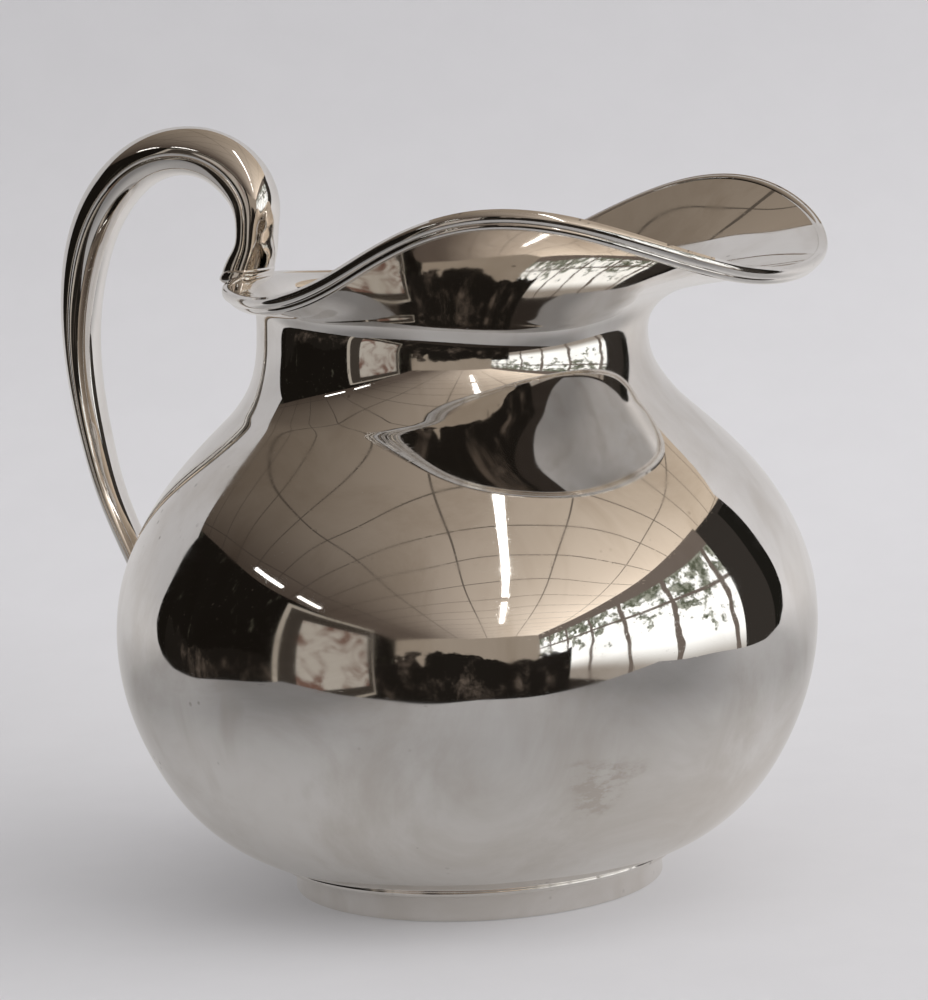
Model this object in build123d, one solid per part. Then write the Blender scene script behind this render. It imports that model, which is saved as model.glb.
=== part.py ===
"""Silver water pitcher: a raised bowl with a lobed pouring lip and a hollow loop handle.

Units are millimetres. +Z is up, the foot stands on Z = 0, and the bowl's axis is the
Z axis. The pouring lip points along +X and the handle stands at -X, so the XZ plane
is the pitcher's plane of symmetry. Every piece of silver is its own solid:

    bowl, neck_and_lip            the two raised sheet pieces, soldered at the shoulder
    lip_upper_wire, lip_lower_wire  round wires soldered under the edge of the lip
    foot_band, foot_collar_wire   the ring the pitcher stands on and its seating wire
    handle_outer_shell, handle_inner_shell  the two stamped halves of the hollow handle
    handle_lip_saddle, handle_body_pad      the plates that close and carry its two ends
"""

import os
from math import cos, hypot, pi, radians, sin

from build123d import *

# ---------------------------------------------------------------- driving dimensions
SHEET = 1.4                  # gauge of the bowl and the neck

BOTTOM_FLAT_RADIUS = 36.7     # the flat bottom, then a rounding up to the foot's seat
SEAT_RADIUS = 48.0
SEAT_Z = 7.3
SEAT_SLOPE = 20.0            # degrees
# the bowl's outside above the seat: radius and height, widest at the belly
BOWL_CURVE = [
    (59.8, 12.2),
    (70.3, 20.0),
    (78.2, 30.0),
    (83.4, 40.0),
    (86.9, 50.0),
    (89.0, 66.5),
    (87.3, 80.0),
    (83.5, 90.0),
    (77.7, 100.0),
    (69.4, 110.0),
]
JOINT_RADIUS = 56.4          # the solder joint between shoulder and neck
JOINT_Z = 122.5
JOINT_SLOPE = 44.0           # the shoulder's slope where it meets the neck, in degrees

NECK_RADIUS = 49.2
NECK_FOOT_SLOPE = 52.0       # the neck starts a little steeper than the shoulder ends
NECK_FOOT_REACH = 7.6        # how far that slope is felt
NECK_STRAIGHT_Z = 132.0      # from here up to the flare the neck is a straight tube
FLARE_Z = 149.0              # where the flare starts at the handle, its narrowest place
FLARE_LEAST = 7.0            # how far it goes out there
FLARE_DROP = 0.25            # a wider flare starts this much lower per millimetre
FLARE_SIDE_DROP = 4.0        # and at the sides by this much more
BEND_RISE = 2.6              # the flare's bend above its start
BEND_RISE_SHARE = 0.2        # and more per millimetre of flare
FLARE_REACH = 0.55           # share of the flare that runs nearly straight to the edge
FLARE_SAG = 0.03             # the hollow in that run, per millimetre of flare
EDGE_OUT = 0.8               # from the middle of the edge to the outside of the sheet
# lobed edge of the lip around the axis, as cosine waves of the angle from the spout:
# the mean, then one wave round, two waves, and so on
LIP_RADIUS_WAVES = [71.5, 20.6, 5.0, -1.8, -1.7, -1.1, 0.0, 0.2, -0.4]
LIP_HEIGHT_WAVES = [159.8, 6.3, -3.3, -7.0, -2.5, 0.4, 1.0, 0.2, 0.1]
LIP_STEP = 10                # degrees between the sections of the lip
JOINT_TAIL = 2.5             # the neck is made this much too long, then cut at the joint

UPPER_WIRE_RADIUS = 1.25
LOWER_WIRE_RADIUS = 1.05
WIRE_OVERLAP = 0.35          # the two wires touch along a soldered flat
WIRE_BITE = 0.35             # how deep the sheet and solder flatten each wire

FOOT_INNER_RADIUS = 45.9
FOOT_BASE_RADIUS = 47.4
FOOT_WAIST_RADIUS = 47.1
FOOT_WAIST_Z = 3.2
FOOT_TOP_RADIUS = 48.7
FOOT_TOP_Z = 7.0
FOOT_HEIGHT = 8.4            # before the bowl's underside cuts it
COLLAR_RING_RADIUS = 50.2
COLLAR_Z = 7.8
COLLAR_WIRE_RADIUS = 0.95

HANDLE_SHEET = 1.0
SEAM_FILM = 0.03             # solder between the two halves
# the seam of the handle from the lip over the loop and down to the belly:
# x, z, width, rise of the outer half, rise of the inner half, squareness
HANDLE = [
    (-58.4, 153.0, 17.0, 4.3, 5.6, 3.4),
    (-57.1, 157.4, 16.2, 3.9, 5.2, 3.4),
    (-55.4, 162.2, 14.8, 3.7, 4.1, 3.4),
    (-54.7, 167.2, 14.2, 4.0, 4.2, 3.0),
    (-55.0, 173.3, 13.8, 5.8, 5.2, 2.5),
    (-59.7, 181.0, 13.8, 7.3, 6.0, 2.2),
    (-67.1, 185.6, 14.0, 7.4, 5.8, 2.0),
    (-75.9, 187.0, 14.2, 7.2, 5.4, 2.0),
    (-87.0, 184.5, 14.2, 7.1, 5.3, 2.0),
    (-96.3, 177.9, 14.0, 7.1, 5.5, 2.0),
    (-102.9, 169.0, 14.0, 6.9, 5.4, 2.0),
    (-107.7, 156.7, 13.8, 6.1, 5.0, 2.0),
    (-110.0, 142.8, 13.6, 4.8, 4.2, 2.0),
    (-109.8, 127.8, 13.2, 3.8, 3.4, 2.0),
    (-107.6, 112.7, 12.6, 3.3, 3.0, 2.0),
    (-104.1, 98.4, 11.6, 3.1, 2.7, 2.0),
    (-97.9, 83.3, 10.6, 3.2, 2.7, 2.0),
    (-90.3, 68.1, 9.8, 3.2, 2.7, 2.0),
    (-84.0, 58.0, 9.4, 3.2, 2.7, 2.0),
]
SADDLE_TOP_Z = 157.2
SADDLE_BOTTOM_Z = 153.2
SADDLE_X = (-64.2, -53.4)
SADDLE_WIDTH = 17.4
SADDLE_CORNER = 2.4
PAD_THICKNESS = 1.0
PAD_WIDTH = 11.6
PAD_Z = (59.0, 80.5)


# ---------------------------------------------------------------- small helpers
def unit(x, y):
    """The direction of a vector in the plane of a profile."""
    length = hypot(x, y)
    return x / length, y / length


def bezier(p0, p1, p2, p3, t):
    """A point of a cubic curve."""
    a, b, c, d = (1 - t) ** 3, 3 * t * (1 - t) ** 2, 3 * t * t * (1 - t), t ** 3
    return tuple(a * p0[i] + b * p1[i] + c * p2[i] + d * p3[i] for i in (0, 1))


def waves(terms, angle):
    """A cosine series of the angle."""
    return sum(term * cos(k * angle) for k, term in enumerate(terms))


def inward(points, distance):
    """The same profile moved inward by a sheet's thickness."""
    moved = []
    for i, (r, z) in enumerate(points):
        before = points[max(i - 1, 0)]
        after = points[min(i + 1, len(points) - 1)]
        dr, dz = unit(after[0] - before[0], after[1] - before[1])
        moved.append((r - dz * distance, z + dr * distance))
    return moved


def turned(profile):
    """A solid of revolution from a closed outline in the XZ half plane."""
    return revolve(make_face(profile), axis=Axis.Z).solid()


def xz(r, z):
    """A profile's point in the plane of symmetry."""
    return (r, 0, z)


# ---------------------------------------------------------------- bowl
def bowl_points():
    """The outside of the bowl from the axis to the solder joint."""
    slope = radians(SEAT_SLOPE)
    rounding = (SEAT_RADIUS - BOTTOM_FLAT_RADIUS) / sin(slope)
    bottom = SEAT_Z - rounding * (1 - cos(slope))
    points = [(BOTTOM_FLAT_RADIUS * share, bottom) for share in (0.0, 0.5, 1.0)]
    points.append((
        BOTTOM_FLAT_RADIUS + rounding * sin(slope / 2),
        bottom + rounding * (1 - cos(slope / 2)),
    ))
    return points + [(SEAT_RADIUS, SEAT_Z)] + BOWL_CURVE + [(JOINT_RADIUS, JOINT_Z)]


def joint_frame():
    """Direction up the shoulder and the outward normal at the solder joint."""
    slope = radians(JOINT_SLOPE)
    return (-cos(slope), sin(slope)), (sin(slope), cos(slope))


def make_bowl():
    """One sheet of even gauge, turned about the axis."""
    points = bowl_points()
    along, normal = joint_frame()
    outside = Spline(
        *[xz(*p) for p in points], tangents=[(1, 0, 0), (along[0], 0, along[1])]
    )
    steps = 30
    inner = []
    for i in range(steps + 1):
        at, way = outside @ (i / steps), outside % (i / steps)
        inner.append((at.X - way.Z * SHEET, 0, at.Z + way.X * SHEET))
    inside = Spline(*inner, tangents=[(1, 0, 0), (along[0], 0, along[1])])
    return turned([
        outside,
        Line(outside @ 1, inside @ 1),
        inside,
        Line(inside @ 0, outside @ 0),
    ])


# ---------------------------------------------------------------- neck and lip
def lip_profile(angle):
    """Outside of the neck and lip at an angle round the axis, from the joint upward."""
    edge = (
        waves(LIP_RADIUS_WAVES, angle) + EDGE_OUT,
        waves(LIP_HEIGHT_WAVES, angle) - EDGE_OUT,
    )
    flare = edge[0] - NECK_RADIUS
    lower = FLARE_DROP * (flare - FLARE_LEAST) + FLARE_SIDE_DROP * sin(angle) ** 2
    throat = (NECK_RADIUS, FLARE_Z - lower)
    slope = radians(NECK_FOOT_SLOPE)
    foot = (JOINT_RADIUS, JOINT_Z)
    tail = (foot[0] + JOINT_TAIL * cos(slope), foot[1] - JOINT_TAIL * sin(slope))
    leaving = (
        foot[0] - NECK_FOOT_REACH * cos(slope),
        foot[1] + NECK_FOOT_REACH * sin(slope),
    )
    straight = (NECK_RADIUS, NECK_STRAIGHT_Z)
    bend = (NECK_RADIUS, throat[1] + BEND_RISE + BEND_RISE_SHARE * flare)
    hollow = (
        edge[0] + FLARE_REACH * (bend[0] - edge[0]),
        edge[1] + FLARE_REACH * (bend[1] - edge[1]) - FLARE_SAG * flare,
    )
    neck_steps, flare_steps = 6, 8
    points = [tail]
    for i in range(neck_steps):
        points.append(bezier(foot, leaving, straight, throat, i / neck_steps))
    for i in range(flare_steps + 1):
        points.append(bezier(throat, bend, hollow, edge, i / flare_steps))
    return points


def lip_frame(angle):
    """The edge point of the lip's outside, the way along the sheet and outward."""
    points = lip_profile(angle)
    way = unit(points[-1][0] - points[-2][0], points[-1][1] - points[-2][1])
    return points[-1], way, (way[1], -way[0])


def spin(r, z, angle):
    """A profile's point at an angle round the axis."""
    return (r * cos(angle), r * sin(angle), z)


def lip_section(angle):
    """The wall of the neck and lip cut at an angle, as a closed wire."""
    outside = lip_profile(angle)
    inside = inward(outside, SHEET)
    outer = Spline(*[spin(r, z, angle) for r, z in outside])
    inner = Spline(*[spin(r, z, angle) for r, z in reversed(inside)])
    return Wire([outer, Line(outer @ 1, inner @ 0), inner, Line(inner @ 1, outer @ 0)])


def far_half(shape):
    """The part of a shape beyond the symmetry plane."""
    breadth, size = 400.0, 300.0
    far_side = Pos(0, size / 2, size / 2) * Box(breadth, size, size)
    return (shape & far_side).solid()


def half_ring(section):
    """The far half of a ring lofted round the axis, cut cleanly on the symmetry plane."""
    angles = range(-2 * LIP_STEP, 180 + 3 * LIP_STEP, LIP_STEP)
    return far_half(Solid.make_loft([section(radians(a)) for a in angles]))


def both_halves(half):
    return (half + mirror(half, about=Plane.XZ)).solid()


def below_joint():
    """Everything under the conical solder joint, near the shoulder."""
    along, normal = joint_frame()
    reach, drop = 6.0, 8.0
    corners = []
    for out, down in ((1, 0), (-1, 0), (-1, 1), (1, 1)):
        r = JOINT_RADIUS + out * reach * normal[0] - down * drop * along[0]
        z = JOINT_Z + out * reach * normal[1] - down * drop * along[1]
        corners.append(xz(r, z))
    return turned(Polyline(*corners, close=True).edges())


def make_neck_half():
    return (half_ring(lip_section) - below_joint()).solid()


# ---------------------------------------------------------------- wires under the lip
def wire_section(radius, drop):
    """A round wire's section under the edge, `drop` down the sheet, bitten by the sheet."""

    def section(angle):
        edge, way, out = lip_frame(angle)

        def at(down, away):
            r = edge[0] - (drop + down) * way[0] + away * out[0]
            z = edge[1] - (drop + down) * way[1] + away * out[1]
            return spin(r, z, angle)

        top, bottom = at(0.0, -WIRE_BITE), at(2 * radius, -WIRE_BITE)
        crown = at(radius, 2 * radius - WIRE_BITE)
        return Wire([Line(bottom, top), ThreePointArc(top, crown, bottom)])

    return section


# ---------------------------------------------------------------- foot
def make_foot_band(bowl):
    top_inside = xz(FOOT_INNER_RADIUS, FOOT_HEIGHT)
    outside = ThreePointArc(
        xz(FOOT_BASE_RADIUS, 0), xz(FOOT_WAIST_RADIUS, FOOT_WAIST_Z), xz(FOOT_TOP_RADIUS, FOOT_TOP_Z)
    )
    ring = turned([
        outside,
        Line(outside @ 1, xz(FOOT_TOP_RADIUS, FOOT_HEIGHT)),
        Line(xz(FOOT_TOP_RADIUS, FOOT_HEIGHT), top_inside),
        Line(top_inside, xz(FOOT_INNER_RADIUS, 0)),
        Line(xz(FOOT_INNER_RADIUS, 0), outside @ 0),
    ])
    return largest(ring - bowl)


def make_collar(bowl, band):
    ring = Pos(0, 0, COLLAR_Z) * Torus(COLLAR_RING_RADIUS, COLLAR_WIRE_RADIUS)
    return largest(ring.solid() - bowl - band)


def largest(shape):
    """The one piece that is meant, without the crumbs that a cut may leave."""
    return max(shape.solids(), key=lambda piece: piece.volume)


# ---------------------------------------------------------------- handle
def half_oval(width, rise, squareness, side):
    """Points of half an oval from one side to the other, rising by `rise` on `side`."""
    steps = 8
    points = []
    for i in range(steps + 1):
        angle = pi * i / steps
        across = width / 2 * abs(cos(angle)) ** (2 / squareness)
        up = rise * sin(angle) ** (2 / squareness) if 0 < i < steps else 0.0
        points.append((across if angle <= pi / 2 else -across, side * (up + SEAM_FILM / 2)))
    return points


def handle_shell(side):
    """One half of the hollow handle: side -1 is the outer half, +1 the inner half."""
    path = Spline(*[xz(row[0], row[1]) for row in HANDLE])
    sections = []
    for x, z, width, outer_rise, inner_rise, squareness in HANDLE:
        rise = outer_rise if side < 0 else inner_rise
        at = path.param_at_point(Vector(x, 0, z))
        plane = Plane(origin=(x, 0, z), x_dir=(0, 1, 0), z_dir=path % at)
        small_width, small_rise = width - 2 * HANDLE_SHEET, rise - HANDLE_SHEET
        big = half_oval(width, rise, squareness, side)
        small = half_oval(small_width, small_rise, squareness, side)
        outer = Spline(*big)
        inner = Spline(*reversed(small))
        wire = Wire([
            outer,
            Line(outer @ 1, inner @ 0),
            inner,
            Line(inner @ 1, outer @ 0),
        ])
        sections.append(plane.location * wire)
    return Solid.make_loft(sections)


def make_handle():
    """Both halves, cut off flat on the saddle and along the curve of the pad."""
    cut_x = (-82.0, -30.0)
    cut_width, cut_depth = 60.0, 40.0
    below_saddle = Pos(sum(cut_x) / 2, 0, SADDLE_TOP_Z - cut_depth / 2) * Box(
        cut_x[1] - cut_x[0], cut_width, cut_depth
    )
    inside_pad = swollen_bowl(PAD_THICKNESS)
    return [
        largest(handle_shell(side) - inside_pad - below_saddle) for side in (-1, 1)
    ]


def make_saddle_half(pieces):
    """Half the block between the handle and the lip's edge, shaped by what it sits on."""
    x0, x1 = SADDLE_X
    outline = RectangleRounded(x1 - x0, SADDLE_WIDTH, SADDLE_CORNER)
    place = Plane.XY.offset(SADDLE_BOTTOM_Z) * Pos((x0 + x1) / 2, 0)
    block = far_half(extrude(place * outline, SADDLE_TOP_Z - SADDLE_BOTTOM_Z))
    for piece in pieces:
        crumbs = (block - piece).solids()
        block = max(crumbs, key=lambda solid: solid.bounding_box().max.Z)
    return block


def swollen_bowl(distance):
    """The bowl's outside moved outward, as a solid, round the belly."""
    points = [p for p in bowl_points() if p[1] > BOWL_CURVE[0][1]]
    moved = inward(points, -distance)
    curve = Spline(*[xz(*p) for p in moved])
    top, low = curve @ 1, curve @ 0
    return turned([
        curve,
        Line(top, xz(0, top.Z)),
        Line(xz(0, top.Z), xz(0, low.Z)),
        Line(xz(0, low.Z), low),
    ])


def make_pad(bowl):
    """A thin plate with round ends, bent to the bowl where the handle comes down on it."""
    z0, z1 = PAD_Z
    outline = SlotOverall(z1 - z0, PAD_WIDTH, rotation=90)
    outside, depth = -105.0, 40.0
    place = Plane.YZ.offset(outside) * Pos(0, (z0 + z1) / 2)
    block = extrude(place * outline, depth).solid()
    plate = block & swollen_bowl(PAD_THICKNESS)
    return plate.solid() - bowl - swollen_bowl(0.0)


# ---------------------------------------------------------------- the whole pitcher
def build():
    bowl = make_bowl()
    neck_half = make_neck_half()
    upper_half = largest(half_ring(wire_section(UPPER_WIRE_RADIUS, 0.0)) - neck_half)
    lower_drop = 2 * UPPER_WIRE_RADIUS - WIRE_OVERLAP
    lower_half = half_ring(wire_section(LOWER_WIRE_RADIUS, lower_drop))
    lower_half = largest(lower_half - neck_half - upper_half)
    neck = both_halves(neck_half)
    upper = both_halves(upper_half)
    lower = both_halves(lower_half)
    band = make_foot_band(bowl)
    collar = make_collar(bowl, band)
    saddle = both_halves(make_saddle_half([neck_half, upper_half, lower_half]))
    pad = make_pad(bowl)
    outer, inner = make_handle()
    return {
        "bowl": bowl,
        "neck_and_lip": neck,
        "lip_upper_wire": upper,
        "lip_lower_wire": lower,
        "foot_band": band,
        "foot_collar_wire": collar,
        "handle_outer_shell": outer,
        "handle_inner_shell": inner,
        "handle_lip_saddle": saddle,
        "handle_body_pad": pad,
    }


os.makedirs("parts", exist_ok=True)
for name, piece in build().items():
    export_step(piece, f"parts/{name}.step")
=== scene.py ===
"""Looks, light and camera for the silver water pitcher.

Shapes are worked out in millimetres with the same numbers as the CAD part and turned
into metres when their meshes are made. +X is the pouring lip, -X the handle, +Z is up.
"""

from math import cos, pi, radians, sin

import bpy
import numpy as np
from mathutils import Matrix, Vector


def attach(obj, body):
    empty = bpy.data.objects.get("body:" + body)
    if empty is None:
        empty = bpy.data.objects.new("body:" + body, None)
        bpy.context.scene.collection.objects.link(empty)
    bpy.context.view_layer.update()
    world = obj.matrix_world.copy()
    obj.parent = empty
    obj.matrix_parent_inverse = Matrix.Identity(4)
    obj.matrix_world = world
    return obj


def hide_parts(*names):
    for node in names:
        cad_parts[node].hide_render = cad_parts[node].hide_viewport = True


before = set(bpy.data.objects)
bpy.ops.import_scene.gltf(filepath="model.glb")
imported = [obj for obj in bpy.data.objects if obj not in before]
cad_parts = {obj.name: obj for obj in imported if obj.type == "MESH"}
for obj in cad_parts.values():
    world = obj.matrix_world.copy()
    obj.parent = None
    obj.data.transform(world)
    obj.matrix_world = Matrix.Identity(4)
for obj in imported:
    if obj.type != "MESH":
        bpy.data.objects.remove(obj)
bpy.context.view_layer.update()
MM = 0.001

# ---------------------------------------------------------------- dimensions, as in the CAD part
SHEET = 1.4
BOTTOM_FLAT_RADIUS = 36.7
SEAT_RADIUS, SEAT_Z, SEAT_SLOPE = 48.0, 7.3, 20.0
BOWL_CURVE = [
    (59.8, 12.2), (70.3, 20.0), (78.2, 30.0), (83.4, 40.0), (86.9, 50.0),
    (89.0, 66.5), (87.3, 80.0), (83.5, 90.0), (77.7, 100.0), (69.4, 110.0),
]
JOINT_RADIUS, JOINT_Z, JOINT_SLOPE = 56.4, 122.5, 44.0
NECK_RADIUS, NECK_FOOT_SLOPE, NECK_FOOT_REACH = 49.2, 52.0, 7.6
NECK_STRAIGHT_Z, FLARE_Z, FLARE_LEAST, FLARE_DROP = 132.0, 149.0, 7.0, 0.25
FLARE_SIDE_DROP = 4.0
BEND_RISE, BEND_RISE_SHARE, FLARE_REACH, FLARE_SAG = 2.6, 0.2, 0.55, 0.03
EDGE_OUT = 0.8
LIP_RADIUS_WAVES = [71.5, 20.6, 5.0, -1.8, -1.7, -1.1, 0.0, 0.2, -0.4]
LIP_HEIGHT_WAVES = [159.8, 6.3, -3.3, -7.0, -2.5, 0.4, 1.0, 0.2, 0.1]
HANDLE = [  # x, z, width, rise of the outer half, rise of the inner half, squareness
    (-58.4, 153.0, 17.0, 4.3, 5.6, 3.4),
    (-57.1, 157.4, 16.2, 3.9, 5.2, 3.4),
    (-55.4, 162.2, 14.8, 3.7, 4.1, 3.4),
    (-54.7, 167.2, 14.2, 4.0, 4.2, 3.0),
    (-55.0, 173.3, 13.8, 5.8, 5.2, 2.5),
    (-59.7, 181.0, 13.8, 7.3, 6.0, 2.2),
    (-67.1, 185.6, 14.0, 7.4, 5.8, 2.0),
    (-75.9, 187.0, 14.2, 7.2, 5.4, 2.0),
    (-87.0, 184.5, 14.2, 7.1, 5.3, 2.0),
    (-96.3, 177.9, 14.0, 7.1, 5.5, 2.0),
    (-102.9, 169.0, 14.0, 6.9, 5.4, 2.0),
    (-107.7, 156.7, 13.8, 6.1, 5.0, 2.0),
    (-110.0, 142.8, 13.6, 4.8, 4.2, 2.0),
    (-109.8, 127.8, 13.2, 3.8, 3.4, 2.0),
    (-107.6, 112.7, 12.6, 3.3, 3.0, 2.0),
    (-104.1, 98.4, 11.6, 3.1, 2.7, 2.0),
    (-97.9, 83.3, 10.6, 3.2, 2.7, 2.0),
    (-90.3, 68.1, 9.8, 3.2, 2.7, 2.0),
    (-84.0, 58.0, 9.4, 3.2, 2.7, 2.0),
]
HANDLE_SHEET = 1.0
ROUND = 432                  # points round the axis
SAMPLES_PER_POINT = 40       # how finely a curve is sampled to measure its length
BOWL_ROWS, NECK_ROWS = 190, 64
JOINT_SOFT_ROWS = (4, 3)     # rows dressed smooth below and above the joint
JOINT_SOFT_PASSES = 3
PLANISH_SEED, PLANISH_WAVES = 7, 80
PLANISH_SLOPE = 0.0090       # typical tilt of the surface
PLANISH_LENGTHS = (15.0, 75.0)
INNER_ROW_STEP = 3           # the inside of the bowl is meshed this much coarser


# ---------------------------------------------------------------- curves
def hermite(t, slopes, values, where):
    """Values of a piecewise cubic with knots `t` at the places `where`."""
    i = np.clip(np.searchsorted(t, where, side="right") - 1, 0, len(t) - 2)
    h = (t[i + 1] - t[i])[:, None]
    u = ((where - t[i])[:, None]) / h
    a, b = values[i], values[i + 1]
    return (
        (1 + 2 * u) * (1 - u) ** 2 * a + u * (1 - u) ** 2 * h * slopes[i]
        + u * u * (3 - 2 * u) * b + u * u * (u - 1) * h * slopes[i + 1]
    )


def spline(points, count, start=None, end=None, places=2):
    """`count` evenly spaced rows of a smooth curve; extra columns are carried along."""
    p = np.array(points, float)
    steps = np.linalg.norm(np.diff(p[:, :places], axis=0), axis=1)
    t = np.concatenate([[0.0], np.cumsum(steps)])
    n = len(p)
    matrix, right = np.zeros((n, n)), np.zeros_like(p)
    for i in range(1, n - 1):
        before, after = steps[i - 1], steps[i]
        matrix[i, i - 1:i + 2] = after, 2 * (before + after), before
        right[i] = 3 * (
            after / before * (p[i] - p[i - 1]) + before / after * (p[i + 1] - p[i])
        )
    for row, near, step, way in ((0, 1, steps[0], start), (n - 1, n - 2, -steps[-1], end)):
        if way is None:
            matrix[row, row], matrix[row, near] = 2, 1
            right[row] = 3 * (p[near] - p[row]) / step
        else:
            matrix[row, row] = 1
            right[row, :len(way)] = way
    slopes = np.linalg.solve(matrix, right)
    fine = np.linspace(0, t[-1], SAMPLES_PER_POINT * n)
    track = hermite(t, slopes, p, fine)[:, :places]
    length = np.cumsum(np.linalg.norm(np.diff(track, axis=0), axis=1))
    length = np.concatenate([[0.0], length])
    even = np.interp(np.linspace(0, length[-1], count), length, fine)
    return hermite(t, slopes, p, even)


def bezier(p0, p1, p2, p3, t):
    """The place at share t along a cubic curve in a plane."""
    a, b, c, d = (1 - t) ** 3, 3 * t * (1 - t) ** 2, 3 * t * t * (1 - t), t ** 3
    return [a * p0[i] + b * p1[i] + c * p2[i] + d * p3[i] for i in (0, 1)]


def waves(terms, angle):
    """A measure that changes round the axis, as a sum of cosine waves."""
    return sum(term * cos(k * angle) for k, term in enumerate(terms))


def bowl_profile(count):
    """Outside of the bowl from the axis up to the joint."""
    slope = radians(SEAT_SLOPE)
    rounding = (SEAT_RADIUS - BOTTOM_FLAT_RADIUS) / sin(slope)
    bottom = SEAT_Z - rounding * (1 - cos(slope))
    points = [(BOTTOM_FLAT_RADIUS * share, bottom) for share in (0.0, 0.5, 1.0)]
    points.append((
        BOTTOM_FLAT_RADIUS + rounding * sin(slope / 2),
        bottom + rounding * (1 - cos(slope / 2)),
    ))
    points += [(SEAT_RADIUS, SEAT_Z)] + BOWL_CURVE + [(JOINT_RADIUS, JOINT_Z)]
    end = (-cos(radians(JOINT_SLOPE)), sin(radians(JOINT_SLOPE)))
    return spline(points, count, (1.0, 0.0), end)


def lip_profile(angle, count):
    """Outside of the neck and lip at an angle round the axis, from the joint upward."""
    edge = (
        waves(LIP_RADIUS_WAVES, angle) + EDGE_OUT,
        waves(LIP_HEIGHT_WAVES, angle) - EDGE_OUT,
    )
    flare = edge[0] - NECK_RADIUS
    lower = FLARE_DROP * (flare - FLARE_LEAST) + FLARE_SIDE_DROP * sin(angle) ** 2
    throat = (NECK_RADIUS, FLARE_Z - lower)
    slope = radians(NECK_FOOT_SLOPE)
    foot = (JOINT_RADIUS, JOINT_Z)
    leaving = (
        foot[0] - NECK_FOOT_REACH * cos(slope),
        foot[1] + NECK_FOOT_REACH * sin(slope),
    )
    straight = (NECK_RADIUS, NECK_STRAIGHT_Z)
    bend = (NECK_RADIUS, throat[1] + BEND_RISE + BEND_RISE_SHARE * flare)
    hollow = (
        edge[0] + FLARE_REACH * (bend[0] - edge[0]),
        edge[1] + FLARE_REACH * (bend[1] - edge[1]) - FLARE_SAG * flare,
    )
    neck_steps, flare_steps = 8, 10
    points = [
        bezier(foot, leaving, straight, throat, i / neck_steps) for i in range(neck_steps)
    ]
    points += [
        bezier(throat, bend, hollow, edge, i / flare_steps) for i in range(flare_steps + 1)
    ]
    return spline(points, count)


# ---------------------------------------------------------------- meshes
def skin(name, rows, material, loop=False, normals=None):
    """A mesh over rows of points, each row a closed ring. A row of one point is a tip."""
    counts = [len(row) for row in rows]
    starts = np.concatenate([[0], np.cumsum(counts)])
    verts = np.concatenate([np.asarray(row, float).reshape(-1, 3) for row in rows])
    faces = []
    pairs = list(zip(range(len(rows) - 1), range(1, len(rows))))
    if loop:
        pairs.append((len(rows) - 1, 0))
    for a, b in pairs:
        n = max(counts[a], counts[b])
        i = np.arange(n)
        j = (i + 1) % n
        if counts[a] == 1:
            quads = np.stack([starts[a] + 0 * i, starts[b] + j, starts[b] + i], 1)
        elif counts[b] == 1:
            quads = np.stack([starts[a] + i, starts[a] + j, starts[b] + 0 * i], 1)
        else:
            quads = np.stack([starts[a] + i, starts[a] + j, starts[b] + j, starts[b] + i], 1)
        faces.extend(quads.tolist())
    volume = 0.0
    for size in (3, 4):
        some = np.array([f for f in faces if len(f) == size], int)
        if len(some):
            for k in range(1, size - 1):      # summed to see which way the faces look
                a, b, c = verts[some[:, 0]], verts[some[:, k]], verts[some[:, k + 1]]
                volume += np.einsum("ij,ij->", a, np.cross(b, c)) / 6
    if volume < 0:
        faces = [f[::-1] for f in faces]
    mesh = bpy.data.meshes.new(name)
    mesh.from_pydata((verts * MM).tolist(), [], faces)
    mesh.validate()
    mesh.polygons.foreach_set("use_smooth", np.ones(len(mesh.polygons), bool))
    if normals is not None:
        flat = np.concatenate([np.asarray(row, float).reshape(-1, 3) for row in normals])
        mesh.normals_split_custom_set_from_vertices(flat.tolist())
    mesh.update()
    obj = bpy.data.objects.new(name, mesh)
    bpy.context.scene.collection.objects.link(obj)
    mesh.materials.append(material)
    return obj


def ring(r, z, angles):
    """A row of points round the axis; r and z may change from point to point."""
    return np.stack([r * np.cos(angles), r * np.sin(angles), z + 0 * angles], 1)


def grid_normals(grid):
    """Outward normals of a grid of points whose rows close round the axis."""
    along = np.gradient(grid, axis=0)
    wrapped = np.concatenate([grid[:, -1:], grid, grid[:, :1]], axis=1)
    across = (wrapped[:, 2:] - wrapped[:, :-2]) / 2
    n = np.cross(across, along)
    return n / np.maximum(np.linalg.norm(n, axis=2, keepdims=True), 1e-12)


def planished(grid, normals, seed, slope, shortest, longest, count):
    """The faint uneven surface that the raising hammer leaves, as long shallow waves."""
    rng = np.random.default_rng(seed)
    depth = np.zeros(grid.shape[:2])
    for _ in range(count):
        length = shortest * (longest / shortest) ** rng.random()
        way = rng.normal(size=3)
        way *= 2 * pi / length / np.linalg.norm(way)
        depth += length * np.sin(grid @ way + rng.random() * 2 * pi)
    depth *= slope / (2 * pi) * (2 / count) ** 0.5
    return grid + normals * depth[..., None]


ANGLES = np.arange(ROUND) * 2 * pi / ROUND


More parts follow.
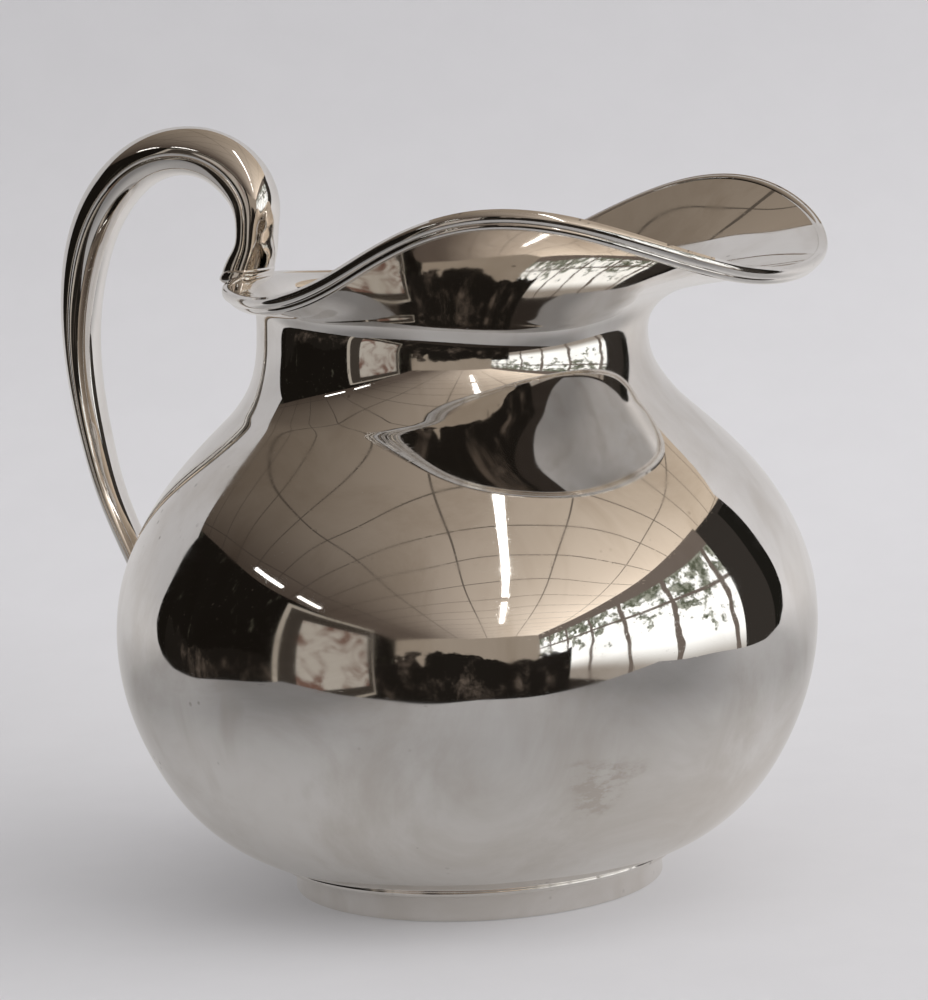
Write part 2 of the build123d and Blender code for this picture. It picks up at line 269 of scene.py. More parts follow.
# ---------------------------------------------------------------- materials
class Nodes:
    """Short way to write a node tree."""

    def __init__(self, owner):
        owner.use_nodes = True
        self.tree = owner.node_tree
        self.tree.nodes.clear()

    def add(self, kind, outlet=0, setup=(), **inlets):
        node = self.tree.nodes.new(kind)
        for key, value in dict(setup).items():
            setattr(node, key, value)
        for key, value in inlets.items():
            if key.startswith("in"):
                socket = node.inputs[int(key[2:])]
            else:
                socket = node.inputs[key.replace("_", " ")]
            if isinstance(value, bpy.types.NodeSocket):
                self.tree.links.new(value, socket)
            else:
                socket.default_value = value
        return node.outputs[outlet] if node.outputs else node

    def math(self, operation, *values, clamp=False):
        inlets = {f"in{i}": v for i, v in enumerate(values)}
        setup = dict(operation=operation, use_clamp=clamp)
        return self.add("ShaderNodeMath", setup=setup, **inlets)

    def blend(self, share, a, b, kind="MIX"):
        return self.add(
            "ShaderNodeMix", outlet=2, setup=dict(data_type="RGBA", blend_type=kind),
            in0=share, in6=a, in7=b,
        )

    def steps(self, value, low, high, to_low=0.0, to_high=1.0, smooth=True):
        kind = "SMOOTHSTEP" if smooth else "LINEAR"
        return self.add(
            "ShaderNodeMapRange", setup=dict(interpolation_type=kind, clamp=True),
            in0=value, in1=low, in2=high, in3=to_low, in4=to_high,
        )

    def noise(self, place, scale, detail=4.0, roughness=0.55, distortion=0.0):
        return self.add(
            "ShaderNodeTexNoise", Vector=place, Scale=scale, Detail=detail,
            Roughness=roughness, Distortion=distortion,
        )

    def place(self):
        """Object coordinates, in metres."""
        return self.add("ShaderNodeTexCoord", outlet=3)

    def dot(self, place, way):
        """How far a place lies along a direction."""
        return self.add(
            "ShaderNodeVectorMath", outlet=1, setup=dict(operation="DOT_PRODUCT"),
            in0=place, in1=tuple(way),
        )

    def height(self, place):
        return self.add("ShaderNodeSeparateXYZ", outlet=2, Vector=place)

    def dimmed(self, tone, share):
        grey = self.add("ShaderNodeCombineColor", Red=share, Green=share, Blue=share)
        return self.blend(1.0, tone, grey, "MULTIPLY")

    def shine(self, color, strength=1.0):
        """Ends a material in plain emission."""
        light = self.add("ShaderNodeEmission", Color=color, Strength=strength)
        self.add("ShaderNodeOutputMaterial", Surface=light)

    def stretched(self, place, scale, turn=(0.0, 0.0, 0.0)):
        return self.add("ShaderNodeMapping", Vector=place, Scale=scale, Rotation=turn)


def rgb(r, g, b):
    return (r, g, b, 1.0)


def silver(name, clean, dull, smooth, rough, stain=0.35, scratch=0.5, patches=(), pits=0.4):
    """Polished sterling with handling marks.

    `stain` clouds it, each of the `patches` (where, radius, amount) is torn tarnish, `pits`
    are dark specks, and `scratch` is the strength of fine lines left by wiping. Clean metal
    is as rough as `smooth` says and stained metal as `rough` says.
    """
    material = bpy.data.materials.new(name)
    n = Nodes(material)
    place = n.place()
    cloud = n.steps(n.noise(place, 20.0, 6.0, 0.62, 0.7), 0.40, 0.70)
    drift = n.steps(n.noise(n.stretched(place, (60, 60, 22)), 1.0, 3.0, 0.5, 0.6), 0.46, 0.8)
    soot = n.math("MULTIPLY", n.math("MAXIMUM", cloud, drift), stain, clamp=True)
    for where, radius, amount in patches:
        far = n.add("ShaderNodeVectorMath", outlet=1, setup=dict(operation="DISTANCE"),
                    in0=place, in1=where)
        near = n.steps(far, radius, radius * 0.25)
        turned_place = n.stretched(place, (90, 90, 190), (0.4, 0.2, 0.0))
        torn = n.steps(n.noise(turned_place, 1.0, 6.0, 0.7), 0.44, 0.66)
        mark = n.math("MULTIPLY", n.math("MULTIPLY", near, torn), amount)
        soot = n.math("ADD", soot, mark, clamp=True)
    color = n.blend(soot, rgb(*clean), rgb(*dull))
    dots = n.add("ShaderNodeTexVoronoi", outlet=0, Vector=place, Scale=210.0)
    some = n.steps(n.noise(place, 34.0, 3.0, 0.6), 0.56, 0.66)
    pit = n.math("MULTIPLY", n.math("MULTIPLY", n.steps(dots, 0.16, 0.07), some), pits)
    color = n.blend(pit, color, rgb(*PIT))
    wipe = n.noise(n.stretched(place, (14, 40, 120), (0.3, 0.5, 0.2)), 1.0, 6.0, 0.65, 0.3)
    haze = n.math("ADD", n.math("MULTIPLY", n.steps(wipe, 0.45, 0.8), 0.55),
                  n.math("MULTIPLY", soot, 0.7), clamp=True)
    roughness = n.steps(haze, 0.0, 1.0, smooth, rough, smooth=False)
    fine_a = n.noise(n.stretched(place, (60, 900, 2600), (0.5, 0.2, 0.9)), 1.0, 2.0, 0.5)
    fine_b = n.noise(n.stretched(place, (1900, 80, 700), (0.1, 0.8, 0.3)), 1.0, 2.0, 0.5)
    lines = n.math("MAXIMUM", n.steps(fine_a, 0.66, 0.74), n.steps(fine_b, 0.67, 0.75))
    bump = n.add("ShaderNodeBump", Strength=scratch * 0.1, Distance=0.00002, Height=lines)
    shader = n.add(
        "ShaderNodeBsdfPrincipled", Base_Color=color, Metallic=1.0, Roughness=roughness,
        Normal=bump,
    )
    n.add("ShaderNodeOutputMaterial", Surface=shader)
    return material


CLEAN = (0.93, 0.915, 0.895)
DULL = (0.70, 0.655, 0.60)
PIT = (0.22, 0.19, 0.16)
body_silver = silver(
    "silver_body", CLEAN, DULL, 0.02, 0.12, stain=0.65, pits=0.8,
    patches=[((0.0620, -0.0550, 0.0400), 0.0085, 1.0), ((0.0590, -0.0560, 0.0345), 0.007, 0.9),
             ((0.0575, -0.0610, 0.0425), 0.006, 0.8), ((0.0660, -0.0480, 0.0430), 0.005, 0.8)],
)
wire_silver = silver("silver_wire", CLEAN, DULL, 0.05, 0.16, stain=0.45)
foot_silver = silver("silver_foot", (0.92, 0.90, 0.885), DULL, 0.06, 0.2, stain=0.5)
handle_silver = silver("silver_handle", CLEAN, DULL, 0.03, 0.12, stain=0.35)


# ---------------------------------------------------------------- bowl, neck and lip
bowl_rz = bowl_profile(BOWL_ROWS)
lips = [lip_profile(angle, NECK_ROWS) for angle in ANGLES]
rz = np.stack([np.concatenate([bowl_rz, lip[1:]]) for lip in lips], axis=1)
for _ in range(JOINT_SOFT_PASSES):
    soft = rz.copy()
    soft[1:-1] = (rz[:-2] + 2 * rz[1:-1] + rz[2:]) / 4
    near = slice(BOWL_ROWS - JOINT_SOFT_ROWS[0], BOWL_ROWS + JOINT_SOFT_ROWS[1])
    rz[near] = soft[near]
plain = np.stack(
    [rz[..., 0] * np.cos(ANGLES), rz[..., 0] * np.sin(ANGLES), rz[..., 1]], axis=2
)
plain_normals = grid_normals(plain)
plain_normals[0] = (0, 0, -1)
outside = planished(
    plain, plain_normals, PLANISH_SEED, PLANISH_SLOPE, *PLANISH_LENGTHS, PLANISH_WAVES
)
outside_normals = grid_normals(outside)
outside_normals[0] = (0, 0, -1)
inside = outside - plain_normals * SHEET
inside_normals = -grid_normals(inside)
inside_normals[0] = (0, 0, 1)
JOINT = BOWL_ROWS - 1
inner_rows = list(range(JOINT, 0, -INNER_ROW_STEP))

bowl = skin(
    "bowl_raised", [outside[0, :1]] + list(outside[1:JOINT + 1]) + list(inside[inner_rows])
    + [inside[0, :1]],
    body_silver,
    normals=[outside_normals[0, :1]] + list(outside_normals[1:JOINT + 1])
    + list(inside_normals[inner_rows]) + [inside_normals[0, :1]],
)
neck = skin(
    "neck_and_lip_raised", list(outside[JOINT:]) + list(inside[:JOINT - 1:-1]), body_silver,
    loop=True,
    normals=list(outside_normals[JOINT:]) + list(inside_normals[:JOINT - 1:-1]),
)

# ---------------------------------------------------------------- edge of the lip
edge_at = outside[-1]
edge_way = outside[-1] - outside[-2]
edge_way /= np.linalg.norm(edge_way, axis=1, keepdims=True)
edge_out = outside_normals[-1]


def edging(name, section, material):
    """A band along the edge of the lip from a section of (down the sheet, outward)."""
    rows = [edge_at - down * edge_way + away * edge_out for down, away in section]
    return skin(name, rows, material, loop=True)


def rounded(points, count):
    """A closed smooth section through the points."""
    turn = points + points[:1]
    wide = points[-3:] + turn + points[1:3]
    fine = spline(wide, SAMPLES_PER_POINT * len(wide))
    half = len(fine) // 2
    gap = np.linalg.norm(fine - points[0], axis=1)
    first, last = np.argmin(gap[:half]), half + np.argmin(gap[half:])
    pick = np.linspace(first, last, count, endpoint=False).round().astype(int)
    return fine[pick]


BEAD_DOWN, BEAD_AWAY, BEAD_RADIUS = 2.95, 1.1, 1.2
BAND_STEPS, BEAD_STEPS = 36, 20
upper_section = rounded(
    [(1.5, -1.75), (0.55, -1.5), (0.05, -0.95), (-0.05, -0.3), (0.2, 0.5), (0.85, 1.15),
     (1.65, 1.3), (2.4, 1.0), (2.75, 0.4), (2.7, -0.5)], BAND_STEPS)
upper = edging("lip_edge_band", upper_section, wire_silver)
lower = edging("lip_edge_bead", [
    (BEAD_DOWN - BEAD_RADIUS * cos(t), BEAD_AWAY + BEAD_RADIUS * sin(t))
    for t in np.arange(BEAD_STEPS) * 2 * pi / BEAD_STEPS], wire_silver)


# ---------------------------------------------------------------- foot
def turned(name, profile, material):
    """A closed profile of (radius, height) spun round the axis."""
    return skin(name, [ring(r, z, ANGLES) for r, z in profile], material, loop=True)


def arc(centre, radius, start, end, count):
    """Points on a part of a circle, with its ends in degrees."""
    return [
        (centre[0] + radius * cos(radians(a)), centre[1] + radius * sin(radians(a)))
        for a in np.linspace(start, end, count)
    ]


FOOT_INSIDE_RADIUS, FOOT_TOP_Z = 45.9, 8.0
COLLAR_CENTRE, COLLAR_RADIUS = (50.1, 7.75), 0.95
COLLAR_STEPS = 24
FOOT_WAIST = [(47.08, 0.8), (47.03, 2.2), (47.2, 4.2), (47.85, 5.8), (48.6, 6.7)]
foot_profile = (
    [(FOOT_INSIDE_RADIUS, FOOT_TOP_Z), (FOOT_INSIDE_RADIUS, 0.5)]
    + arc((46.4, 0.5), 0.5, 180, 270, 6)
    + arc((46.75, 0.35), 0.35, -90, 5, 6)
    + [tuple(p) for p in spline(FOOT_WAIST, 16)]
    + [(48.75, 7.1), (48.5, 7.35), (48.0, 7.4)]
)
foot = turned("foot_ring", foot_profile, foot_silver)
collar_profile = arc(COLLAR_CENTRE, COLLAR_RADIUS, 0, 360 - 360 / COLLAR_STEPS, COLLAR_STEPS)
collar = turned("foot_bead", collar_profile, foot_silver)


# ---------------------------------------------------------------- handle
PATH_ROWS = 260
HANDLE_START_Z = 154.6       # the root starts inside the saddle
HANDLE_LOOP_X = -70.0        # everything beyond belongs to the loop
path = spline(HANDLE, PATH_ROWS)
path_way = np.gradient(path[:, :2], axis=0)
path_way /= np.linalg.norm(path_way, axis=1, keepdims=True)


def handle_section(row, way, side, outer_steps=26, inner_steps=12, seam=0.05, film=0.008):
    """The closed section of one hollow half of the handle, as points in space.

    `seam` draws the half's edges in, and `film` is half the gap left between the halves.
    """
    x, z, width, outer_rise, inner_rise, squareness = row
    rise = outer_rise if side < 0 else inner_rise
    loop = []
    for w, up, steps, order in (
        (width, rise, outer_steps, 1),
        (width - 2 * HANDLE_SHEET, rise - HANDLE_SHEET, inner_steps, -1),
    ):
        for i in range(steps + 1)[::order]:
            angle = pi * i / steps
            across = w / 2 * np.sign(cos(angle)) * abs(cos(angle)) ** (2 / squareness)
            lift = up * abs(sin(angle)) ** (2 / squareness)
            if order == 1 and i in (0, steps):
                across -= np.sign(across) * seam
            loop.append((across, side * (lift + film)))
    out = np.array([-way[1], way[0]])      # across the path in the plane of symmetry
    return [(x + out[0] * up, across, z + out[1] * up) for across, up in loop]


def handle_half(side):
    """The sections of one half from inside the saddle to the pad."""
    return [
        np.array(handle_section(row, way, side)) for row, way in zip(path, path_way)
        if row[1] > HANDLE_START_Z or row[0] < HANDLE_LOOP_X
    ]


def capped(rows):
    """Rows with each end closed by its own middle point."""
    return [rows[0].mean(0, keepdims=True)] + rows + [rows[-1].mean(0, keepdims=True)]


handle_pieces = []
for side, name, node in ((-1, "handle_outer_half", "handle_outer_shell"),
                         (1, "handle_inner_half", "handle_inner_shell")):
    piece = skin(name, capped(handle_half(side)), handle_silver)
    handle_pieces.append((piece, node))


# ---------------------------------------------------------------- plates at the handle's ends
def oval(width, front, back, squareness, z, count=48):
    """A level outline round the handle's root; front and back are x positions."""
    points = []
    for i in range(count):
        angle = 2 * pi * i / count
        c, s = cos(angle), sin(angle)
        middle = (front + back) / 2
        x = middle + (front - back) / 2 * np.sign(c) * abs(c) ** (2 / squareness)
        y = width / 2 * np.sign(s) * abs(s) ** (2 / squareness)
        points.append((x, y, z))
    return np.array(points)


saddle_rows = [              # width, front, back, squareness, height
    oval(15.4, -53.8, -61.2, 3.4, 157.2),
    oval(16.5, -53.1, -62.0, 3.4, 157.1),
    oval(16.9, -53.1, -62.9, 3.3, 156.5),
    oval(17.1, -53.4, -63.7, 3.2, 155.6),
    oval(17.1, -53.9, -64.1, 3.0, 154.8),
    oval(16.6, -54.8, -63.4, 2.8, 154.0),
    oval(15.0, -55.8, -61.6, 2.6, 153.5),
]
saddle = skin("handle_saddle", capped(saddle_rows), handle_silver)


BOWL_SIDE_RADIUS = 40.0      # outside this the bowl is clear of its level bottom


def bowl_radius(z):
    """Outside radius of the bowl at a height."""
    side = bowl_rz[bowl_rz[:, 0] > BOWL_SIDE_RADIUS]
    return np.interp(z, side[:, 1], side[:, 0])


PAD_HALF_WIDTH, PAD_HALF_LENGTH, PAD_MIDDLE_Z = 5.8, 10.75, 69.75
PAD_POINTS = 64
PAD_BULGE = 0.4              # how far the middle of the pad stands out
pad_rows = []
for lift, grow in ((-0.3, 0.0), (0.55, 0.0), (0.85, -0.25), (1.0, -0.8)):    # off the bowl
    row = []
    for i in range(PAD_POINTS):
        angle = 2 * pi * i / PAD_POINTS
        half_width, half_length = PAD_HALF_WIDTH + grow, PAD_HALF_LENGTH + grow
        straight = (half_length - half_width) * np.sign(sin(angle))
        y = half_width * cos(angle)
        z = PAD_MIDDLE_Z + straight + half_width * sin(angle)
        r = bowl_radius(z) + lift
        row.append((-(r * r - y * y) ** 0.5, y, z))
    pad_rows.append(np.array(row))
pad_end = pad_rows[-1].mean(0, keepdims=True) - [[PAD_BULGE, 0, 0]]
pad = skin(
    "handle_pad", [pad_rows[0].mean(0, keepdims=True)] + pad_rows + [pad_end], handle_silver
)

for piece, node, slot in (
    (bowl, "bowl", "silver_body"), (neck, "neck_and_lip", "silver_body"),
    (upper, "lip_upper_wire", "silver_wire"), (lower, "lip_lower_wire", "silver_wire"),
    (foot, "foot_band", "silver_foot"), (collar, "foot_collar_wire", "silver_foot"),
    (handle_pieces[0][0], "handle_outer_shell", "silver_handle"),
    (handle_pieces[1][0], "handle_inner_shell", "silver_handle"),
    (saddle, "handle_lip_saddle", "silver_handle"), (pad, "handle_body_pad", "silver_handle"),
):
    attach(piece, "root")
    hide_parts(node)


# ---------------------------------------------------------------- camera
CAMERA_AT = Vector((379.322, -760.802, 213.475)) * MM
VIEW_SIDE = radians(26.5)    # how far the camera stands round from the pitcher's side
AZIMUTH, PITCH, ROLL = VIEW_SIDE - radians(0.0521), radians(7.78331), radians(-2.86784)
SENSOR = 36.0
FOCAL_PER_WIDTH = 3380.25 / 928
ahead = Vector((-sin(AZIMUTH) * cos(PITCH), cos(AZIMUTH) * cos(PITCH), -sin(PITCH)))
level = ahead.cross(Vector((0, 0, 1))).normalized()
above = level.cross(ahead)
right = cos(ROLL) * level + sin(ROLL) * above
top = -sin(ROLL) * level + cos(ROLL) * above
camera_data = bpy.data.cameras.new("camera")
camera = bpy.data.objects.new("camera", camera_data)
bpy.context.scene.collection.objects.link(camera)
camera.matrix_world = Matrix((right, top, -ahead)).transposed().to_4x4()
camera.location = CAMERA_AT
camera_data.sensor_width = SENSOR
camera_data.sensor_fit = "HORIZONTAL"
camera_data.lens = FOCAL_PER_WIDTH * SENSOR
camera_data.clip_start = 0.01
camera_data.clip_end = 50.0
bpy.context.scene.camera = camera


# ---------------------------------------------------------------- studio
TOWARD = Vector((sin(VIEW_SIDE), -cos(VIEW_SIDE), 0))    # from the pitcher to the camera
RIGHT = Vector((cos(VIEW_SIDE), sin(VIEW_SIDE), 0))
ROOM_LEFT, ROOM_RIGHT, ROOM_BACK, ROOM_FRONT = -3.4, 3.2, -2.5, 8.0
ROOM_FLOOR, ROOM_CEILING = -0.9, 2.0
ROOM_TURN = radians(9)       # the room stands a little askew behind the camera


def spot(right_by, front_by, up_by):
    """A place in the studio, in metres right of, in front of and above the pitcher."""
    return RIGHT * right_by + TOWARD * front_by + Vector((0, 0, up_by))


def unlit(name):
    """A material that is seen but lights nothing by itself, and its nodes."""
    material = bpy.data.materials.new(name)
    material.cycles.emission_sampling = "NONE"
    return material, Nodes(material)


def glow(name, color, strength=1.0):
    material, n = unlit(name)
    n.shine(color, strength)
    return material


def sheet_of(name, points, material):
    """A stage surface from a grid of studio places."""
    rows, columns = len(points), len(points[0])
    verts = [spot(*p) for row in points for p in row]
    faces = [
        (r * columns + c, r * columns + c + 1, (r + 1) * columns + c + 1, (r + 1) * columns + c)
        for r in range(rows - 1) for c in range(columns - 1)
    ]
    mesh = bpy.data.meshes.new(name)
    mesh.from_pydata(verts, [], faces)
    mesh.polygons.foreach_set("use_smooth", np.ones(len(mesh.polygons), bool))
    mesh.materials.append(material)
    obj = bpy.data.objects.new(name, mesh)
    bpy.context.scene.collection.objects.link(obj)
    return obj


def reflected_only(obj):
    obj.visible_camera = False
    obj.visible_diffuse = False
    obj.visible_shadow = False
    obj.visible_transmission = False
    obj.visible_volume_scatter = False
    return obj


def card(name, corners, material):
    """A flat panel that only reflections see, from its four corners in turn."""
    return reflected_only(sheet_of(name, [corners[:2], corners[3:1:-1]], material))


def matt(name, color, lift, shade_front=None, shade_side=None):
    """Matt paper, clear from behind.

    `lift` is painted light, the strength of a glow low down and higher up. `shade_front`
    and `shade_side` paint shade: where it darkens towards the front and sides, and how dark.
    """
    material, n = unlit(name)
    place = n.place()
    ahead_by = n.dot(place, TOWARD)
    tone = n.dimmed(rgb(*color), n.steps(n.noise(place, 40.0, 3.0), 0.3, 0.7, 0.985, 1.0))
    # painted shade: darker towards the sides, on the level front part only
    if shade_side:
        start, end, least = shade_side
        aside_by = n.math("ABSOLUTE", n.dot(place, RIGHT))
        level_part = n.steps(ahead_by, -0.32, -0.12)
        fade = n.math("MULTIPLY", n.steps(aside_by, start, end), level_part)
        dim = n.math("SUBTRACT", 1.0, n.math("MULTIPLY", fade, 1.0 - least))
        tone = n.dimmed(tone, dim)
    # painted shade: darker towards the front
    if shade_front:
        start, end, least = shade_front
        tone = n.dimmed(tone, n.steps(ahead_by, start, end, 1.0, least))
    # painted light: a glow, one strength at the floor and another from 0.25 m up
    strength = n.steps(n.height(place), 0.0, 0.25, *lift)
    shader = n.add("ShaderNodeBsdfPrincipled", Base_Color=tone, Roughness=0.9,
                   Emission_Color=tone, Emission_Strength=strength, Specular_IOR_Level=0.1)
    behind = n.add("ShaderNodeNewGeometry", outlet=6)
    n.add("ShaderNodeOutputMaterial", Surface=n.add(
        "ShaderNodeMixShader", in0=behind, in1=shader, in2=n.add("ShaderNodeBsdfTransparent")))
    return material


# painted light: the floor and backdrop glow, most low down, which lightens the shadows on them
paper = matt("paper", (0.63, 0.625, 0.637), (0.225, 0.03))


def sweep(front, back, height, bend, across):
    """Rows of a seamless sweep: level, then curved up behind the pitcher."""
    line = [(front, 0.0), (front * 0.5, 0.0), (0.0, 0.0), (back + bend, 0.0)]
    line += [
        (back + bend - bend * sin(t), bend - bend * cos(t))
        for t in np.linspace(0, pi / 2, 24)[1:]
    ]
    line += [(back, height)]
    return [[(r, f, z) for r in across] for f, z in line]


floor = sheet_of("floor", sweep(
    front=3.0, back=-0.75, height=4.0, bend=0.6, across=(-5.0, -2.0, 0.0, 2.0, 5.0),
), paper)
floor.visible_glossy = False
floor.location.z = -0.0002   # just clear of the foot


# the table as the silver mirrors it: (front, height, left edge, right edge)
TABLE_ACROSS = 9
TABLE = (
    (0.29, 0.0, -0.43, 0.46), (0.1, 0.0, -0.43, 0.46), (0.0, 0.0, -0.44, 0.46),
    (-0.1, 0.0, -0.5, 0.47), (-0.2, 0.01, -0.6, 0.5), (-0.28, 0.04, -0.68, 0.56),
    (-0.33, 0.10, -0.72, 0.6), (-0.36, 0.2, -0.76, 0.64), (-0.37, 0.36, -0.78, 0.66),
    (-0.38, 0.50, -0.8, 0.68),
)
table_rows = [
    [(left + (rightmost - left) * share, f, z) for share in np.linspace(0, 1, TABLE_ACROSS)]
    for f, z, left, rightmost in TABLE
]
# painted shade: the mirrored table darkens towards its front and sides; painted light: it glows,
# most low down
table_paper = matt(
    "table_paper", (0.55, 0.538, 0.53), (0.32, 0.12),
    shade_front=(-0.02, 0.16, 0.58), shade_side=(0.05, 0.24, 0.58),
)
table = sheet_of("table_in_reflection", table_rows, table_paper)
table.visible_camera = False
table.visible_shadow = False

# ceiling with its tile grid and strip lights, its painted light brighter towards the windows
ceiling_paint, n = unlit("ceiling")
place = n.place()
across = n.dot(place, cos(ROOM_TURN) * RIGHT - sin(ROOM_TURN) * TOWARD)
along = n.dot(place, cos(ROOM_TURN) * TOWARD + sin(ROOM_TURN) * RIGHT)


def lines_every(value, pitch, width, shift=0.0):
    """1 on lines of a width that repeat at a pitch along `value`, and 0 between them."""
    spotted = n.math("FRACT", n.math("DIVIDE", n.math("ADD", value, shift + 100 * pitch), pitch))
    return n.math("LESS_THAN", spotted, width / pitch)


TILE_ACROSS, TILE_ALONG = 1.22, 0.61
grid = n.math(
    "MAXIMUM", lines_every(across, TILE_ACROSS, 0.022, 0.3),
    lines_every(along, TILE_ALONG, 0.018, 0.2),
)
# painted light: the ceiling glows brighter towards the windows and further off
lit_from_windows = n.math("POWER", n.steps(across, -3.2, 3.0, smooth=False), 1.4)
base = n.blend(lit_from_windows, rgb(0.085, 0.066, 0.054), rgb(1.0, 0.85, 0.70))
far_off = n.steps(along, -0.5, 4.0, smooth=False)
lit = n.blend(far_off, rgb(0.62, 0.6, 0.57), rgb(1.25, 1.25, 1.25))
paint = n.blend(1.0, base, lit, "MULTIPLY")
paint = n.blend(n.math("MULTIPLY", grid, 0.75), paint, rgb(0.03, 0.024, 0.02))
n.shine(paint)
card("ceiling", [
    (ROOM_LEFT, ROOM_BACK, ROOM_CEILING), (ROOM_RIGHT, ROOM_BACK, ROOM_CEILING),
    (ROOM_RIGHT, ROOM_FRONT, ROOM_CEILING), (ROOM_LEFT, ROOM_FRONT, ROOM_CEILING),
], ceiling_paint)

tube_light = glow("tube_light", rgb(1.0, 0.98, 0.95), 4.0)
STRIP_Z, STRIP_HALF = ROOM_CEILING - 0.03, 0.05
for near, far in (((0.27, 0.3), (0.66, 2.7)), ((0.70, 2.95), (0.97, 4.7)),
                  ((-2.95, 0.28), (-2.95, 1.13)), ((-2.95, 1.6), (-2.95, 2.4))):
    card("strip_light", [
        (near[0] - STRIP_HALF, near[1], STRIP_Z), (near[0] + STRIP_HALF, near[1], STRIP_Z),
        (far[0] + STRIP_HALF, far[1], STRIP_Z), (far[0] - STRIP_HALF, far[1], STRIP_Z),
    ], tube_light)

# wall of windows on the right
window_view, n = unlit("window_view")
place = n.place()
along = n.dot(place, TOWARD)
height = n.height(place)
wander = n.math("MULTIPLY", n.math("SUBTRACT", n.noise(place, 1.3, 2.0), 0.5), 0.35)
posts = lines_every(n.math("ADD", along, wander), 1.35, 0.13, 0.3)
rail = n.math("MULTIPLY", n.math("GREATER_THAN", height, 0.95), n.math("LESS_THAN", height, 1.03))
border = n.math("GREATER_THAN", height, 1.62)
frames = n.math("MAXIMUM", n.math("MAXIMUM", posts, rail), border)
close = n.steps(along, 2.6, 1.0)
tree = n.math("ADD", n.noise(place, 2.2, 6.0, 0.65), n.math("MULTIPLY", close, 0.02))
tree = n.math("ADD", tree, n.math("MULTIPLY", height, 0.12))
leaves = n.steps(tree, 0.62, 0.68)
green = n.blend(n.steps(n.noise(place, 7.0, 5.0, 0.7), 0.4, 0.65), rgb(0.09, 0.10, 0.065),
                rgb(0.42, 0.43, 0.36))
sky = n.blend(leaves, rgb(1.25, 1.25, 1.22), green)
sky = n.blend(n.steps(height, 0.0, -0.6), sky, rgb(0.34, 0.30, 0.26))
view = n.blend(frames, sky, rgb(0.16, 0.13, 0.11))
n.shine(view)
WINDOWS_RIGHT, WINDOWS_BACK, WINDOWS_FRONT = 3.1, -0.5, 7.5
card("windows", [
    (WINDOWS_RIGHT, WINDOWS_BACK, ROOM_FLOOR), (WINDOWS_RIGHT, WINDOWS_FRONT, ROOM_FLOOR),
    (WINDOWS_RIGHT, WINDOWS_FRONT, ROOM_CEILING), (WINDOWS_RIGHT, WINDOWS_BACK, ROOM_CEILING),
], window_view)

# far wall, left wall, floor of the room and dark furniture
wall_paint = glow("wall_paint", rgb(0.30, 0.25, 0.2))
WALL_FRONT, WALL_LEFT, WALL_BACK = 7.6, -3.3, -2.0
card("far_wall", [
    (ROOM_LEFT, WALL_FRONT, ROOM_FLOOR), (ROOM_RIGHT, WALL_FRONT, ROOM_FLOOR),
    (ROOM_RIGHT, WALL_FRONT, ROOM_CEILING), (ROOM_LEFT, WALL_FRONT, ROOM_CEILING),
], wall_paint)
left_paint, n = unlit("left_paint")
place = n.place()
shelf = n.steps(n.noise(n.stretched(place, (2.2, 2.2, 0.7)), 1.0, 5.0, 0.7), 0.56, 0.70)
ware = n.steps(n.noise(n.stretched(place, (9.0, 9.0, 6.0)), 1.0, 3.0, 0.6), 0.66, 0.74)
wall = n.blend(shelf, rgb(0.008, 0.0065, 0.005), rgb(0.085, 0.08, 0.06))
wall = n.blend(ware, wall, rgb(0.05, 0.04, 0.033))
n.shine(wall)
card("left_wall", [
    (WALL_LEFT, WALL_BACK, ROOM_FLOOR), (WALL_LEFT, WALL_FRONT, ROOM_FLOOR),
    (WALL_LEFT, WALL_FRONT, ROOM_CEILING), (WALL_LEFT, WALL_BACK, ROOM_CEILING),
], left_paint)
card("room_floor", [
    (ROOM_LEFT, ROOM_BACK, ROOM_FLOOR), (ROOM_RIGHT, ROOM_BACK, ROOM_FLOOR),
    (ROOM_RIGHT, ROOM_FRONT, ROOM_FLOOR), (ROOM_LEFT, ROOM_FRONT, ROOM_FLOOR),
], glow("room_floor", rgb(0.03, 0.024, 0.02)))

clutter, n = unlit("clutter")
place = n.place()
ragged = n.math("ADD", n.math("MULTIPLY", n.noise(place, 1.1, 5.0, 0.6), 1.3), -0.48)
solid = n.math("LESS_THAN", n.height(place), ragged)
paler = n.steps(n.noise(n.stretched(place, (3.0, 3.0, 1.6)), 1.0, 6.0, 0.7), 0.5, 0.82)
shade = n.blend(paler, rgb(0.012, 0.010, 0.008), rgb(0.16, 0.125, 0.10))
mixed = n.add("ShaderNodeMixShader", in0=solid, in1=n.add("ShaderNodeBsdfTransparent"),
              in2=n.add("ShaderNodeEmission", Color=shade, Strength=1.0))
n.add("ShaderNodeOutputMaterial", Surface=mixed)
FURNITURE_DISTANCE, FURNITURE_TOP = 2.6, 0.9
FURNITURE_DEGREES = range(-112, 34, 4)
round_rows = []
for up in (ROOM_FLOOR, FURNITURE_TOP):
    round_rows.append([
        (FURNITURE_DISTANCE * sin(radians(a)), FURNITURE_DISTANCE * cos(radians(a)), up)
        for a in FURNITURE_DEGREES
    ])
reflected_only(sheet_of("furniture", round_rows, clutter))

# a framed panel standing on the left
panel, n = unlit("panel")
place = n.place()
blotch = n.steps(n.noise(place, 2.6, 4.0, 0.6, 0.8), 0.42, 0.60)
face = n.blend(blotch, rgb(0.42, 0.385, 0.34), rgb(0.15, 0.085, 0.065))
n.shine(face)


def standing_card(name, near, far, low, high, inset, material):
    """A card standing on the left, set in from the frame by `inset`."""
    r0, f0 = near
    r1, f1 = far
    step_r, step_f = (r1 - r0) * inset, (f1 - f0) * inset
    rise = (high - low) * inset
    off = 0.4 * inset        # each layer stands a little in front of the one before
    a, b = (r0 + step_r + off, f0 + step_f), (r1 - step_r + off, f1 - step_f)
    bottom, top_edge = low + rise, high - rise
    card(name, [(*a, bottom), (*b, bottom), (*b, top_edge), (*a, top_edge)], material)


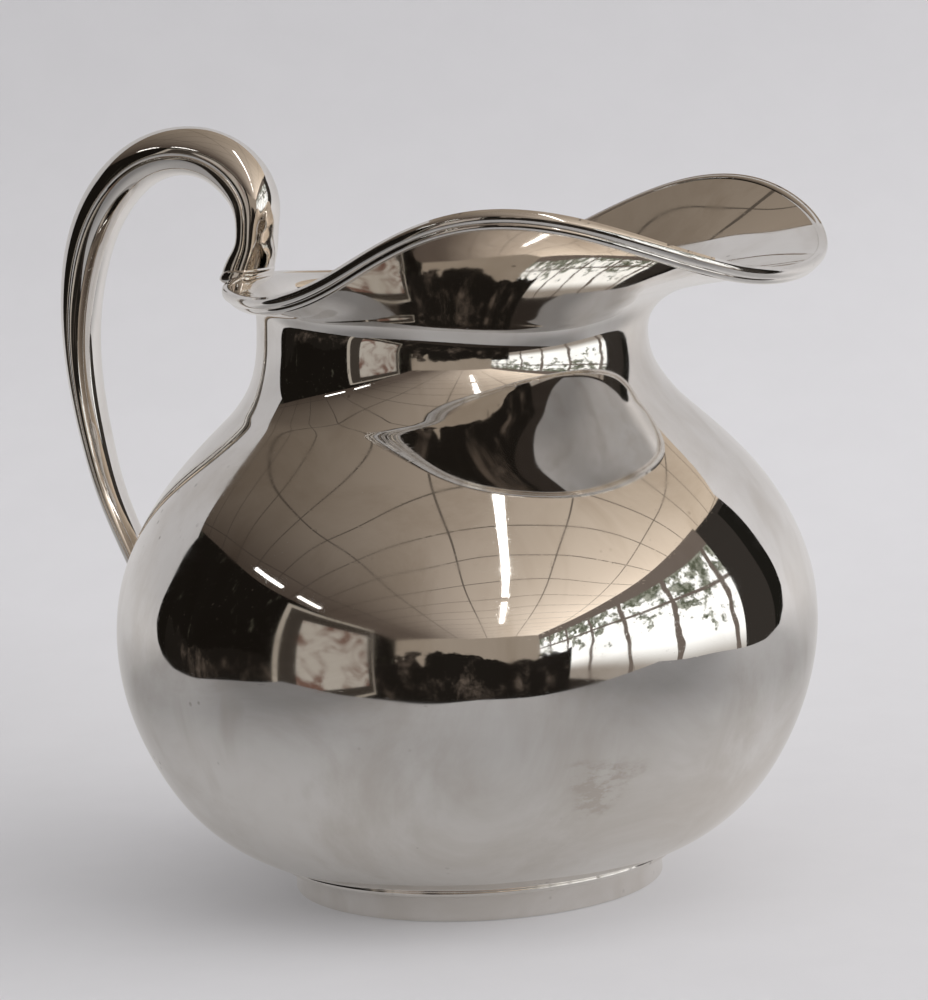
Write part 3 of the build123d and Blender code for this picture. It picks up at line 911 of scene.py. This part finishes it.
picture = ((-1.27, 0.66), (-1.13, 1.90), -0.42, 0.76)
standing_card("panel_frame", *picture, 0.0, glow("panel_edge", rgb(0.36, 0.32, 0.27)))
standing_card("panel_mat", *picture, 0.035, glow("panel_mat", rgb(0.045, 0.037, 0.03)))
standing_card("panel_face", *picture, 0.15, panel)

# dark doorway on the right behind, a sheet of painted shade
DOOR_RIGHT, DOOR_FRONT, DOOR_BACK, DOOR_TOP = 2.2, -1.05, -1.95, 1.3
card("doorway", [
    (DOOR_RIGHT, DOOR_FRONT, ROOM_FLOOR), (DOOR_RIGHT, DOOR_BACK, ROOM_FLOOR),
    (DOOR_RIGHT, DOOR_BACK, DOOR_TOP), (DOOR_RIGHT, DOOR_FRONT, DOOR_TOP),
], glow("dark_paint", rgb(0.012, 0.011, 0.009)))


# ---------------------------------------------------------------- light
def area(name, place, aim, size, power, color=(1, 1, 1)):
    """A rectangular lamp that neither the camera nor the silver sees."""
    data = bpy.data.lights.new(name, "AREA")
    data.shape = "RECTANGLE"
    data.size, data.size_y = size
    data.energy = power
    data.color = color
    lamp = bpy.data.objects.new(name, data)
    bpy.context.scene.collection.objects.link(lamp)
    lamp.location = place
    lamp.rotation_euler = (aim - place).to_track_quat("-Z", "Y").to_euler()
    lamp.visible_glossy = False
    lamp.visible_camera = False
    return lamp


area("window_light", place=spot(2.9, 0.9, 1.0), aim=spot(0, 0, 0.05), size=(4.0, 1.6),
     power=107.0, color=(1.0, 0.99, 1.0))
area("ceiling_light", place=spot(0.4, 0.0, 2.2), aim=spot(0, -0.2, 0), size=(3.0, 3.0),
     power=10.0)
area("backdrop_light", place=spot(0.0, 0.6, 1.9), aim=spot(0, -0.7, 0.5), size=(2.5, 1.0),
     power=5.0)

world = bpy.data.worlds.new("world")
bpy.context.scene.world = world
n = Nodes(world)
SKY_FILL, SKY_MIRRORED, SKY_SEEN = (0.31, 0.305, 0.31), (0.035, 0.03, 0.026), (0.62, 0.61, 0.63)
seen = n.add("ShaderNodeLightPath", outlet=0)
mirrored = n.add("ShaderNodeLightPath", outlet=3)
tone = n.blend(mirrored, rgb(*SKY_FILL), rgb(*SKY_MIRRORED))
tone = n.blend(seen, tone, rgb(*SKY_SEEN))
n.add("ShaderNodeOutputWorld", Surface=n.add("ShaderNodeBackground", Color=tone, Strength=1.0))

bpy.context.scene.view_settings.view_transform = "Standard"
bpy.context.scene.cycles.max_bounces = 16
bpy.context.scene.cycles.glossy_bounces = 10
